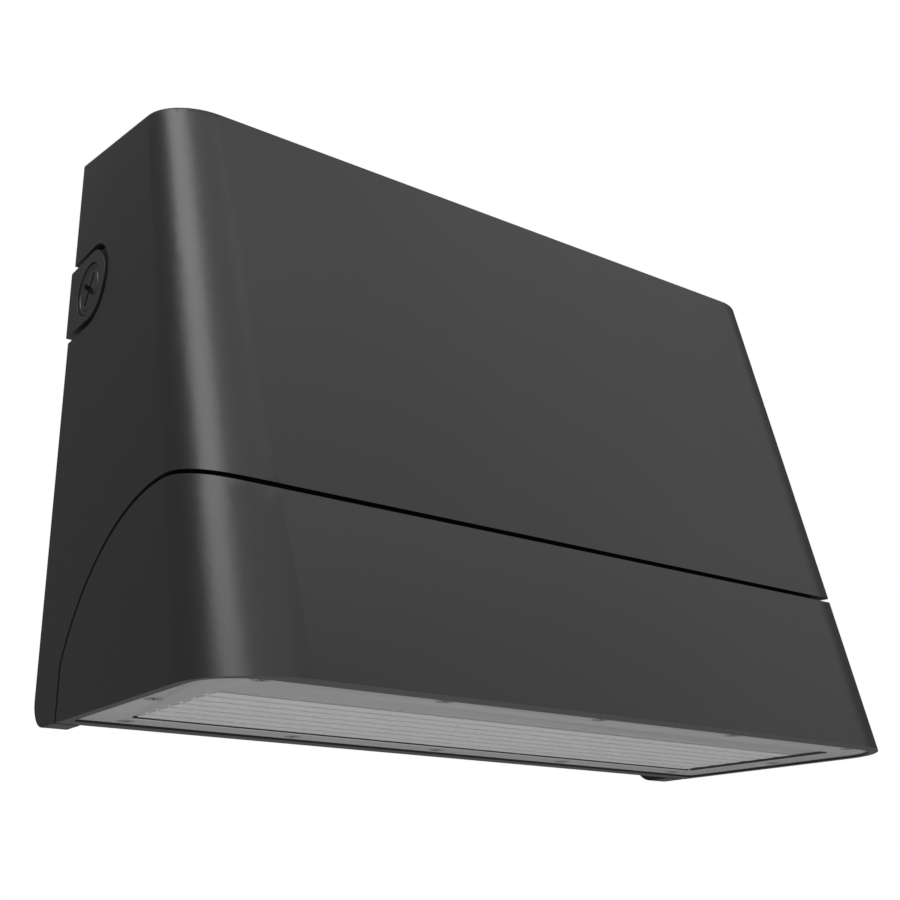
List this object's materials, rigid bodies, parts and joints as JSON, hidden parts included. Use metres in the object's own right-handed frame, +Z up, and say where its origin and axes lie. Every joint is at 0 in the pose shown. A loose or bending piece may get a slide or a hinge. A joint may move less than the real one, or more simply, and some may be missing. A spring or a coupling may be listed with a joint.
{
  "type": "wall pack light",
  "caption": "Full-cutoff wall pack light: a cast housing with a sloping front and a ribbed lens underneath, hinged to a wall box.",
  "frame": {"origin": "middle of the junction-box slots, in the plane of the wall", "axes": "+Z up, +X to the right of someone facing the light, +Y into the wall"},
  "size_m": [0.3008, 0.1491, 0.2293],
  "materials": {
    "painted_casting": "dark grey powder coat on die-cast aluminium, satin",
    "black_rubber": "matt silicone",
    "steel": "zinc-plated steel",
    "green_screw": "green ground screw",
    "terminal_plastic": "moulded nylon",
    "driver_case": "potted driver case",
    "clear_lens": "clear ribbed polycarbonate",
    "bare_aluminium": "rolled sheet",
    "white_board": "white solder mask",
    "led_phosphor": "phosphor dome",
    "white_reflector": "white reflector sheet"
  },
  "bodies": {
    "wall_box": {"wall_box": "painted_casting", "wall_gasket": "black_rubber", "wire_grommet": "black_rubber", "conduit_plug_left": "painted_casting", "conduit_plug_right": "painted_casting", "plug_seals": "black_rubber", "hinge_pins": "steel", "terminal_block": "terminal_plastic", "terminal_screws": "steel", "ground_screw": "green_screw"},
    "front": {"housing": "painted_casting", "housing_gasket": "black_rubber", "closing_screws": "steel", "closing_washers": "steel", "closing_nuts": "steel", "bracket": "steel", "bracket_screws": "steel", "driver": "driver_case", "driver_screws": "steel", "surge_protector": "driver_case", "lens_frame": "painted_casting", "vent": "black_rubber", "frame_gasket": "black_rubber", "frame_screws": "steel", "lens": "clear_lens", "lens_screws": "steel", "lens_gasket": "black_rubber", "carrier": "bare_aluminium", "carrier_screws": "steel", "led_boards": "white_board", "board_screws": "steel", "leds": "led_phosphor", "reflector": "white_reflector"}
  },
  "joints": [
    {"name": "housing_swing", "type": "hinge", "parent": "wall_box", "child": "front", "pos_m": [0, -0.0128, -0.114], "axis": [1, 0, 0], "range_deg": [0, 85]}
  ]
}
